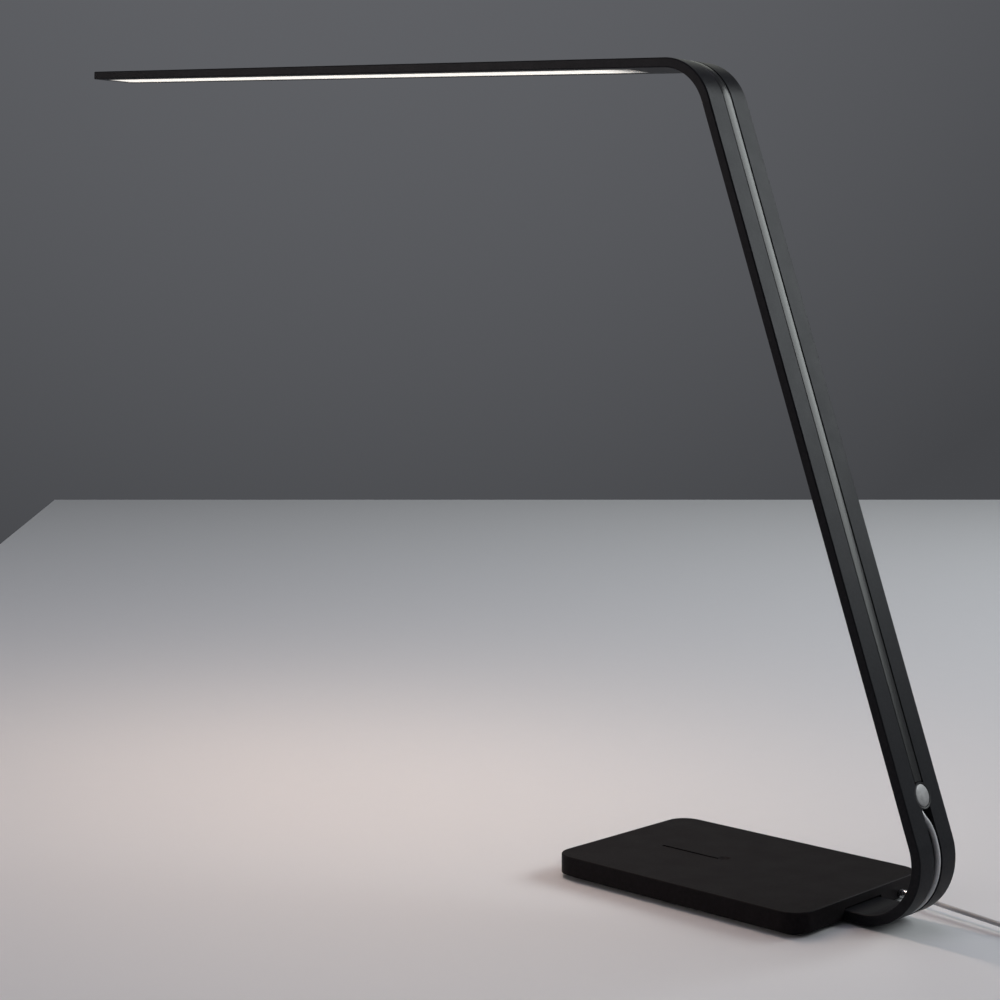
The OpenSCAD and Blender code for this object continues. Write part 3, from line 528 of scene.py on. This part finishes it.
shader.inputs["Emission Color"].default_value = (1.0, 0.955, 0.885, 1)
tree.links.new(strength, shader.inputs["Emission Strength"])
paint(glow, "led_diffuser")
print("finish:", glow.name)

# %% [markdown]
# ## Finer pieces
# Some pieces show more than the construction model gives them, such as rounded edges or
# smooth bends, so they are modelled again here and stand in for the model's own. A new
# piece is made with mesh operators, is given its place in its own mesh, and then rides on
# the lamp or on its button.

# %% Helpers for new pieces
def tidy(mesh):
    bmesh.ops.remove_doubles(mesh, verts=mesh.verts[:], dist=1e-7)
    bmesh.ops.recalc_face_normals(mesh, faces=mesh.faces[:])
    return mesh


def new_object(name, mesh, finish=None):
    data = bpy.data.meshes.new(name)
    mesh.to_mesh(data)
    mesh.free()
    if finish:
        data.materials.append(finish)
    piece = bpy.data.objects.new(name, data)
    bpy.context.scene.collection.objects.link(piece)
    return piece


def place_piece(piece, body, slot, *stands_for, sharp=30):
    """Smooths its shading up to that angle, hangs it on its body and hides what it
    replaces.
    """
    piece.data.shade_smooth()
    piece.data.set_sharp_from_angle(angle=math.radians(sharp))
    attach(piece, body)
    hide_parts(*stands_for)
    print(piece.name, "made:", len(piece.data.polygons), "faces")
    return piece


def spun(profile, steps=64):
    """A profile of (radius, height) points, spun once round Z."""
    mesh = bmesh.new()
    points = [mesh.verts.new((radius, 0, height)) for radius, height in profile]
    lines = [mesh.edges.new(pair) for pair in zip(points, points[1:])]
    bmesh.ops.spin(mesh, geom=points + lines, cent=(0, 0, 0), axis=(0, 0, 1),
                   angle=math.tau, steps=steps, use_merge=True)
    return tidy(mesh)


def moved(mesh, matrix):
    bmesh.ops.transform(mesh, matrix=matrix, verts=mesh.verts[:])
    return mesh


def block(low, high, matrix):
    """A box between two corners, in a frame."""
    mesh = bmesh.new()
    bmesh.ops.create_cube(mesh, size=1)
    low, high = Vector(low), Vector(high)
    bmesh.ops.scale(mesh, vec=high - low, verts=mesh.verts[:])
    bmesh.ops.translate(mesh, vec=(low + high) / 2, verts=mesh.verts[:])
    return moved(mesh, matrix)


def right_angles(mesh):
    """The edges at which two faces meet at about a right angle."""
    return [e for e in mesh.edges if e.is_manifold and e.calc_face_angle() > 1.2]


def round_edges(mesh, edges, width, segments):
    bmesh.ops.bevel(mesh, geom=edges, offset=width, offset_type="OFFSET", affect="EDGES",
                    segments=segments, profile=0.5, material=-1)


def cut(piece, *cutters):
    """Takes the cutters out of the piece."""
    tools = [new_object("cutter", mesh) for mesh in cutters]
    for tool in tools:
        step = piece.modifiers.new("cut", "BOOLEAN")
        step.operation = "DIFFERENCE"
        step.solver = "EXACT"
        step.object = tool
    bpy.context.view_layer.update()
    result = bpy.data.meshes.new_from_object(
        piece.evaluated_get(bpy.context.evaluated_depsgraph_get())
    )
    piece.modifiers.clear()
    for tool in tools:
        bpy.data.objects.remove(tool)
    whole = bmesh.new()  # merges corners that the solver leaves a hair apart
    whole.from_mesh(result)
    bmesh.ops.remove_doubles(whole, verts=whole.verts[:], dist=1e-6)
    whole.to_mesh(result)
    whole.free()
    finish = piece.data.materials[0]
    piece.data = result
    result.materials.clear()
    result.materials.append(finish)
    return piece


# %% [markdown]
# ## The bent bar
# On the real lamp one flat bar is bent twice. The same is done here: one face is the bar's
# section, it is extruded along each straight run and spun round each bend. The spin takes
# many small steps, so the bends stay round from close by. The helper is also used for the
# groove in the bar and for the strip that closes it, because these follow the same line.

# %% Carry a section along the bar
BEND_STEPS = 48


def carried(section, start, stages, bend_steps=BEND_STEPS):
    """A closed mesh with that (across, height) section. A stage is a length or a bend."""
    mesh = bmesh.new()
    place, heading = start
    way = Vector((math.cos(heading), 0, math.sin(heading)))
    out = Vector((math.sin(heading), 0, -math.cos(heading)))
    ring = [
        mesh.verts.new(place + Vector((0, across, 0)) + height * out)
        for across, height in section
    ]
    face = mesh.faces.new(ring)
    for number, stage in enumerate(stages):
        before = face
        if isinstance(stage, float):
            way = Vector((math.cos(heading), 0, math.sin(heading)))
            grown = bmesh.ops.extrude_face_region(mesh, geom=[face])["geom"]
            ends = [v for v in grown if isinstance(v, bmesh.types.BMVert)]
            bmesh.ops.translate(mesh, verts=ends, vec=stage * way)
        else:
            centre, turn = stage
            grown = bmesh.ops.spin(
                mesh, geom=[face], cent=centre, axis=(0, -1, 0), angle=turn,
                steps=bend_steps,
            )["geom_last"]
            heading += turn
        face = next(f for f in grown if isinstance(f, bmesh.types.BMFace))
        if number:  # the face between two stages would stay inside
            bmesh.ops.delete(mesh, geom=[before], context="FACES_ONLY")
    return tidy(mesh)


foot_start = (Vector((FOOT_END, 0, FOOT_HEIGHT)), 0.0)
lower_bend = (lower_centre, lower_turn)
upper_bend = (upper_centre, upper_turn)
half = BAR_WIDTH / 2
bar_mesh = carried(
    [(-half, 0), (half, 0), (half, -BAR_THICKNESS), (-half, -BAR_THICKNESS)],
    foot_start,
    [BEND_START - FOOT_END, lower_bend, stem_length, upper_bend,
     ARM_LENGTH - upper_tangent],
)
print("bar's faces before its edges are rounded:", len(bar_mesh.faces))

# %% [markdown]
# The long edges are rounded over by 0.8 mm and the tip's edges by less. Only edges where
# two faces meet at a right angle are chosen, and the two caps are told by their middles.

# %% Round the bar's edges
foot_cap = foot_start[0] + Vector((0, 0, BAR_THICKNESS / 2))
tip_cap = arm_tip - BAR_THICKNESS / 2 * arm_out


def is_cap(face):
    middle = face.calc_center_median()
    return min((middle - foot_cap).length, (middle - tip_cap).length) < 1e-4


long_edges = [
    e for e in right_angles(bar_mesh) if not any(is_cap(f) for f in e.link_faces)
]
round_edges(bar_mesh, long_edges, 0.0008, 5)
tip_edges = [
    e for e in bar_mesh.edges
    if all(abs((v.co - arm_tip).dot(arm_way)) < 1e-6 for v in e.verts)
]
round_edges(bar_mesh, tip_edges, 0.0002, 2)
bent_bar = new_object("bent_bar", tidy(bar_mesh), anodised)
print("bar's faces with rounded edges:", len(bent_bar.data.polygons))

# %% [markdown]
# The groove, the button's pocket, the scoop under it and the channel for the light strip
# are cut with Boolean modifiers. A cutter is carried along the bar in the same way, and
# stands 1 mm out of the face that it cuts. Where cutters meet, one is a few hundredths of a
# millimetre off the other, and the grooves' bends have one step less than the bar's, so
# that no two faces or edges coincide. Afterwards a modifier weights the shading by the
# size of each face, which keeps the wide flat faces flat next to their rounded edges.

# %% Cut the grooves, the pocket and the light strip's channel
GROOVE_WIDTH = 0.0082
CABLE_DEPTH = 0.0036
WIRE_DEPTH = 0.0026
POCKET_RADIUS = 0.00745
POCKET_DEPTH = 0.0049
SCOOP = 0.008
WINDOW_END = 0.066
DIFFUSER = (0.058, 0.5855)
DIFFUSER_SEAT, BOARD_SEAT = 0.001, 0.0026
DIFFUSER_SIDE, BOARD_SIDE = 0.01, 0.0076
PAST = 0.001
GROOVE_STEPS = BEND_STEPS - 1

side = GROOVE_WIDTH / 2


def groove_section(depth):
    return [(-side, PAST), (side, PAST), (side, -depth), (-side, -depth)]


lower_groove = carried(
    groove_section(CABLE_DEPTH), (foot_start[0] - Vector((PAST, 0, 0)), 0.0),
    [BEND_START - FOOT_END + PAST, lower_bend, BUTTON_ABOVE_BEND], GROOVE_STEPS,
)
upper_groove = carried(
    groove_section(WIRE_DEPTH), (button_centre, stem_turn),
    [stem_length - BUTTON_ABOVE_BEND, upper_bend, WINDOW_END - upper_tangent],
    GROOVE_STEPS,
)


def drum(radius, low, high, matrix):
    """An upright cylinder between two heights, in a frame."""
    mesh = bmesh.new()
    bmesh.ops.create_cone(mesh, cap_ends=True, segments=64, radius1=radius, radius2=radius,
                          depth=high - low)
    bmesh.ops.translate(mesh, vec=(0, 0, (low + high) / 2), verts=mesh.verts[:])
    return moved(mesh, matrix)


scoop_end = POCKET_RADIUS + SCOOP - side
at_scoop = frame_at(button_centre - scoop_end * stem_way, stem_way, stem_out)
pocket = drum(POCKET_RADIUS, -POCKET_DEPTH, PAST, at_button)
scoop = block((-scoop_end, -side - 0.00004, -POCKET_DEPTH + 0.00004),
              (0, side + 0.00004, PAST + 0.0002), at_button)
scoop_round = drum(side + 0.00002, -POCKET_DEPTH + 0.00002, PAST + 0.0001, at_scoop)

at_knee = frame_at(knee, arm_way, arm_out)
under = -BAR_THICKNESS - PAST
diffuser_channel = block(
    (DIFFUSER[0], -DIFFUSER_SIDE, under),
    (DIFFUSER[1], DIFFUSER_SIDE, DIFFUSER_SEAT - BAR_THICKNESS), at_knee,
)
board_channel = block(
    (DIFFUSER[0] + 0.0025, -BOARD_SIDE, under),
    (DIFFUSER[1] - 0.0025, BOARD_SIDE, BOARD_SEAT - BAR_THICKNESS), at_knee,
)
# the window lets the wires through from the groove, and stays inside the groove's floor
window = block(
    (DIFFUSER[0] + 0.0028, 0.0002 - side, under),
    (WINDOW_END - 0.0002, side - 0.0002, 0.0003 - WIRE_DEPTH), at_knee,
)

SCREW_HEAD, SCREW_HOLE, SINK, SCREW_TOP = 0.00385, 0.00205, 0.0018, 0.007
screw_profile = [
    (0, -PAST), (SCREW_HEAD, -PAST), (SCREW_HEAD, 0), (SCREW_HOLE, SINK),
    (SCREW_HOLE, SCREW_TOP), (0, SCREW_TOP),
]
screw_places = [
    (FOOT_END + along, across, FOOT_HEIGHT)
    for along in (0.02, 0.06) for across in (-0.011, 0.011)
]
screw_holes = [
    moved(spun(screw_profile, 32), Matrix.Translation(place)) for place in screw_places
]

cut(bent_bar, lower_groove, upper_groove, pocket, scoop, scoop_round, diffuser_channel,
    board_channel, window, *screw_holes)
place_piece(bent_bar, "lamp", "bar_anodised", "folded_bar")
evened = bent_bar.modifiers.new("flat faces stay flat", "WEIGHTED_NORMAL")
evened.keep_sharp = True

# %% [markdown]
# ## The groove's cover strip
# The strip lies in the groove from the button to the arm. Its middle is raised to a low
# crown, level with the bar's face. Its edges fall away steeply and lie lower, so a dark
# line shows on each side.

# %% Carry the strip along the groove
CROWN_RADIUS = 0.022
STRIP_GAP = 0.0002
STRIP_HALF, STRIP_BACK, STRIP_EDGE = 0.004, -0.0012, -0.0007
crown_turns = [math.radians(a) for a in (8.5, 7.5, 6, 4, 2, 0, -2, -4, -6, -7.5, -8.5)]
crown = [
    (CROWN_RADIUS * math.sin(turn), CROWN_RADIUS * (math.cos(turn) - 1))
    for turn in crown_turns
]
strip_mesh = carried(
    [(-STRIP_HALF, STRIP_BACK), (STRIP_HALF, STRIP_BACK), (STRIP_HALF, STRIP_EDGE)]
    + crown + [(-STRIP_HALF, STRIP_EDGE)],
    (button_centre + (POCKET_RADIUS + STRIP_GAP) * stem_way, stem_turn),
    [stem_length - BUTTON_ABOVE_BEND - POCKET_RADIUS - STRIP_GAP, upper_bend,
     WINDOW_END - upper_tangent - STRIP_GAP],
)
cover_strip = new_object("cover_strip", strip_mesh, drawn)
place_piece(cover_strip, "lamp", "strip_anodised", "groove_strip")

# %% [markdown]
# ## The button
# The cap and the ring round it are lathe work, so each is a profile spun round the
# button's axis. The cap's face is a shallow dome that rolls over at its rim, and it has a
# flange below that the ring holds in. The ring has a small chamfer towards the cap.

# %% Spin the cap and the ring
cap = new_object("button_cap_turned", moved(spun([
    (0, 0.00060), (0.0012, 0.00058), (0.0024, 0.00052), (0.0036, 0.00042),
    (0.0047, 0.00029), (0.0055, 0.00015), (0.0059, 0.00002), (0.0061, -0.00014),
    (0.0062, -0.00040), (0.0062, -0.0012), (0.0072, -0.0012), (0.0072, -0.0017),
    (0, -0.0017),
]), at_button), turned)
place_piece(cap, "button", "button_metal", "button_cap", sharp=40)

ring = new_object("button_ring_turned", moved(spun([
    (0.00635, -0.0011), (0.0074, -0.0011), (0.0074, -0.00008), (0.00732, 0),
    (0.00672, 0), (0.00655, -0.00008), (0.00642, -0.0002), (0.00635, -0.0004),
    (0.00635, -0.0011),
]), at_button), dark_ring)
place_piece(ring, "lamp", "bezel_metal", "button_bezel", sharp=40)

# %% [markdown]
# ## The cable in the groove
# Below the button the groove is open and the supply cable lies in it. It leaves the pocket
# on one side, crosses the groove and follows its far side round the bend and along the
# foot to the driver's terminal.

# %% Lay the cable
CABLE = 0.0032
CROSSING = 0.006
ON_FOOT, ON_BEND = 8, 22

pocket_edge = lower_arc + BUTTON_ABOVE_BEND - POCKET_RADIUS
crossing_start = pocket_edge - SCOOP - CROSSING
rest = CABLE / 2 - CABLE_DEPTH + 0.00005
far_side = side - CABLE / 2 - 0.0001
foot_at = FOOT_END - BEND_START
cable_points = [
    (-0.0977, 0, -0.004625), (-0.0962, 0, -0.004625), (-0.0937, 0, -0.0032875),
    (foot_at, 0, rest),
]
cable_points += [
    (foot_at * (1 - i / ON_FOOT), far_side * i / ON_FOOT, rest) for i in range(1, ON_FOOT)
]
cable_points += [(crossing_start * i / ON_BEND, far_side, rest) for i in range(ON_BEND)]
cable_points += [
    (crossing_start, far_side, rest),
    (pocket_edge - SCOOP, 0.4 * far_side, rest),
    (pocket_edge - SCOOP / 2, -0.5 * far_side, rest - 0.0004),
    (pocket_edge - 0.0003, -0.8 * far_side, CABLE / 2 - POCKET_DEPTH + 0.00015),
]
cable_line = smooth_line([on_bar(*p) for p in cable_points], 3)
cable = round_cord("cable_in_groove", cable_line, CABLE)
cable.data.materials.append(silver_sheath)
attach(cable, "lamp")
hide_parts("groove_cable")
print("cable laid:", len(cable.data.polygons), "faces")

# %% [markdown]
# ## Where the cord leaves
# The bushing is a straight plated barrel screwed into the plate's end, with its mouth
# rounded inside and out so that it can't cut the cord. A short rubber collar with three
# grooves takes the cord's bending behind it. The plug has another, and its grip has
# rounded corners.

# %% Spin the bushing and the collars
BUSHING_REACH = 0.006
COLLAR_LENGTH = 0.009

to_right = Matrix(((0, 0, 1), (1, 0, 0), (0, 1, 0))).to_4x4()
to_back = Matrix(((1, 0, 0), (0, 0, 1), (0, -1, 0))).to_4x4()
at_plate_end = table_run[0] - Vector((BUSHING_REACH, 0, 0))
bushing = new_object("bushing_turned", moved(spun([
    (0.00155, -0.012), (0.00225, -0.012), (0.00225, 0.0001), (0.0022, 0.0001),
    (0.00237, 0.0002), (0.0024, 0.0004), (0.0024, 0.0052), (0.00234, 0.00565),
    (0.00218, 0.0059), (0.00195, 0.006), (0.00176, 0.0059), (0.0016, 0.00565),
    (0.00155, 0.0052), (0.00155, -0.012),
], 48), Matrix.Translation(at_plate_end) @ to_right), polished)
place_piece(bushing, "lamp", "polished_metal", "cord_bushing", sharp=50)


def collar(name, inner, first, last, length, matrix, slot, node):
    """A taper from first to last radius with three soft grooves round it."""
    outside, steps, plain, deep = [], 24, 0.15, 0.00018
    for i in range(steps + 1):
        share = i / steps
        radius = first + (last - first) * share
        if plain < share < 1 - plain:
            swing = math.cos(math.tau * 3 * (share - plain) / (1 - 2 * plain))
            radius -= deep * (0.5 - 0.5 * swing)
        outside.append((radius, length * share))
    profile = [(inner, 0)] + outside + [(inner, length), (inner, 0)]
    piece = new_object(name, moved(spun(profile, 40), matrix), rubber)
    return place_piece(piece, "lamp", slot, node, sharp=45)


collar("cord_collar", 0.00145, 0.0019, 0.0018, COLLAR_LENGTH,
       Matrix.Translation(table_run[0]) @ to_right, "relief_black", "cord_relief")
collar("plug_collar", 0.0004, 0.0019, 0.0031, COLLAR_LENGTH,
       Matrix.Translation(plug_run[-1]) @ to_back, "relief_black", "plug_relief")

# %% [markdown]
# The grip starts as a box. Its long edges are rounded first and then the edges at both
# ends. The tie keeps the construction model's form, and only its edges are broken.

# %% Shape the plug's grip and the coil's tie
grip_mesh = block((0.208, 0.0854, 0), (0.2234, 0.1094, 0.0076), Matrix())
grip_edges = [
    e for e in grip_mesh.edges if abs((e.verts[0].co - e.verts[1].co).y) > 0.01
]
round_edges(grip_mesh, grip_edges, 0.002, 6)
round_edges(grip_mesh, right_angles(grip_mesh), 0.0006, 3)
grip = new_object("plug_grip", tidy(grip_mesh), moulded)
place_piece(grip, "lamp", "plug_black", "plug_body", sharp=50)

tie_mesh = bmesh.new()
tie_mesh.from_mesh(nodes["coil_tie"].data)
bmesh.ops.remove_doubles(tie_mesh, verts=tie_mesh.verts[:], dist=1e-6)
round_edges(tie_mesh, right_angles(tie_mesh), 0.0001, 2)
tie = new_object("coil_strap", tidy(tie_mesh), rubber)
place_piece(tie, "lamp", "relief_black", "coil_tie", sharp=45)

# %% [markdown]
# With its plug, collar and tie made, the cord is complete.

print("cord made with its plug, collar and tie")

# %% [markdown]
# ## The studio
# The table is a pale matt plane. Its far edge and one corner show behind the lamp, and the
# room behind it is a plain grey.

# %% Table
TABLE_EDGE = 3.59  # how far the table reaches, seen from the camera's foot
TABLE_CORNER = 2.7  # how far off its left corner is
TABLE_THICKNESS = 0.03
OUT_OF_SIGHT = 5

forward = Vector((-math.sin(VIEW_TURN), math.cos(VIEW_TURN), 0))
sideways = Vector((math.cos(VIEW_TURN), math.sin(VIEW_TURN), 0))
stand = Vector((camera.location.x, camera.location.y, 0))
outline = [  # to the right and forwards from under the camera
    (-0.823, TABLE_EDGE), (-0.72, TABLE_CORNER), (-OUT_OF_SIGHT, TABLE_CORNER),
    (-OUT_OF_SIGHT, -OUT_OF_SIGHT), (OUT_OF_SIGHT, -OUT_OF_SIGHT),
    (OUT_OF_SIGHT, TABLE_EDGE),
]
table_mesh = bmesh.new()
table_mesh.faces.new([
    table_mesh.verts.new(stand + right * sideways + ahead * forward)
    for right, ahead in outline
])
slab = bmesh.ops.extrude_face_region(table_mesh, geom=table_mesh.faces[:])
lowered = [v for v in slab["geom"] if isinstance(v, bmesh.types.BMVert)]
bmesh.ops.translate(table_mesh, verts=lowered, vec=(0, 0, -TABLE_THICKNESS))
pale, tree, shader = new_finish("pale_table", (0.62, 0.62, 0.635), 0.6, 0.0, 0.3)
vary(tree, shader, (60, 60, 60), 0.58, 0.62)
grain(tree, shader, (900, 900, 900), 0.00001)
table = new_object("table", tidy(table_mesh), pale)
print("table laid")

# %% [markdown]
# The world gives the room's weak even light. What the camera and the reflections see of it
# is a wall in the same grey, a little lighter high up on the left: the angle between the
# line of sight and one fixed direction sets how light it is.

# %% World
LIGHT_SIDE_TURN = math.radians(49.2)
LIGHT_SIDE_HEIGHT = math.radians(20)
WALL_STRENGTH = (0.060, 0.126)

world = bpy.data.worlds.new("studio")
bpy.context.scene.world = world
world.use_nodes = True
tree = world.node_tree
room = tree.nodes["Background"]
room.inputs["Color"].default_value = (0.1, 0.102, 0.108, 1)
wall = add_node(tree, "Background")
wall.inputs["Color"].default_value = (0.97, 1.0, 1.09, 1)
light_side = Vector((
    -math.cos(LIGHT_SIDE_HEIGHT) * math.sin(LIGHT_SIDE_TURN),
    math.cos(LIGHT_SIDE_HEIGHT) * math.cos(LIGHT_SIDE_TURN),
    math.sin(LIGHT_SIDE_HEIGHT),
))
sight = add_node(tree, "TexCoord")
nearness = add_node(tree, "VectorMath", operation="DOT_PRODUCT")
nearness.inputs[1].default_value = light_side
tree.links.new(sight.outputs["Generated"], nearness.inputs[0])
level = map_range(tree, nearness.outputs["Value"], (0.87, 1.0), WALL_STRENGTH)
tree.links.new(level, wall.inputs["Strength"])
rays = add_node(tree, "LightPath")
seen = math_node(tree, "MAXIMUM", rays.outputs["Is Camera Ray"],
                 rays.outputs["Is Transmission Ray"])
seen = math_node(tree, "MAXIMUM", seen, rays.outputs["Is Glossy Ray"])
choose = add_node(tree, "MixShader")
tree.links.new(seen, choose.inputs["Fac"])
tree.links.new(room.outputs["Background"], choose.inputs[1])
tree.links.new(wall.outputs["Background"], choose.inputs[2])
tree.links.new(choose.outputs["Shader"], tree.nodes["World Output"].inputs["Surface"])
print("world set")

# %% [markdown]
# The main light is a large soft panel behind the lamp and to the right. The stem's outer
# face mirrors it, more so higher up. A panel overhead and one at the back left are weak
# and keep the other sides readable. The one far out at the front left is narrow, and the
# bar's side and the plate's side mirror it. The last light has the diffuser's own size and
# place and gives the warm pool under the arm.

# %% Lamps
def soft_lamp(name, place, aim, size, watts, colour=(1, 1, 1)):
    lamp = bpy.data.lights.new(name, "AREA")
    lamp.shape = "RECTANGLE"
    lamp.size, lamp.size_y = size
    lamp.energy = watts
    lamp.color = colour
    holder = bpy.data.objects.new(name, lamp)
    bpy.context.scene.collection.objects.link(holder)
    holder.location = place
    towards = Vector(aim) - Vector(place)
    holder.rotation_euler = towards.to_track_quat("-Z", "Y").to_euler()
    holder.visible_camera = False
    return holder


soft_lamp("back_right", (1.5, 2.2, 1.6), (0, 0, 0.3), (2.2, 1.4), 73.0, (0.944, 1, 1))
soft_lamp("overhead", (-0.3, 0.3, 2.2), (-0.2, 0.1, 0), (1.6, 1.6), 9.3, (0.84, 0.81, 1))
soft_lamp("back_left", (-1.6, 1.8, 1.8), (0, 0, 0.1), (1.6, 1.6), 4.4, (0.96, 1, 0.9))
front_left = soft_lamp(
    "front_left", (-3.4, -3.3, 1.15), (-0.1, 0, 0.2), (1.2, 1.7), 2.8, (1, 0.9, 0.86)
)
front_left.data.spread = math.radians(40)

glow_place = knee + sum(DIFFUSER) / 2 * arm_way - (BAR_THICKNESS + 0.0005) * arm_out
glow_size = (DIFFUSER[1] - DIFFUSER[0], 0.018)
under_arm = soft_lamp(
    "under_arm", glow_place, glow_place - arm_out, glow_size, 1.44, (1, 0.764, 0.611)
)
under_arm.rotation_euler = Matrix(
    (arm_way, arm_out.cross(arm_way), arm_out)
).transposed().to_euler()
print("lamps lit")

# %% [markdown]
# ## The last step
# The view layer is brought up to date once more.

# %% Bring the scene up to date
bpy.context.view_layer.update()
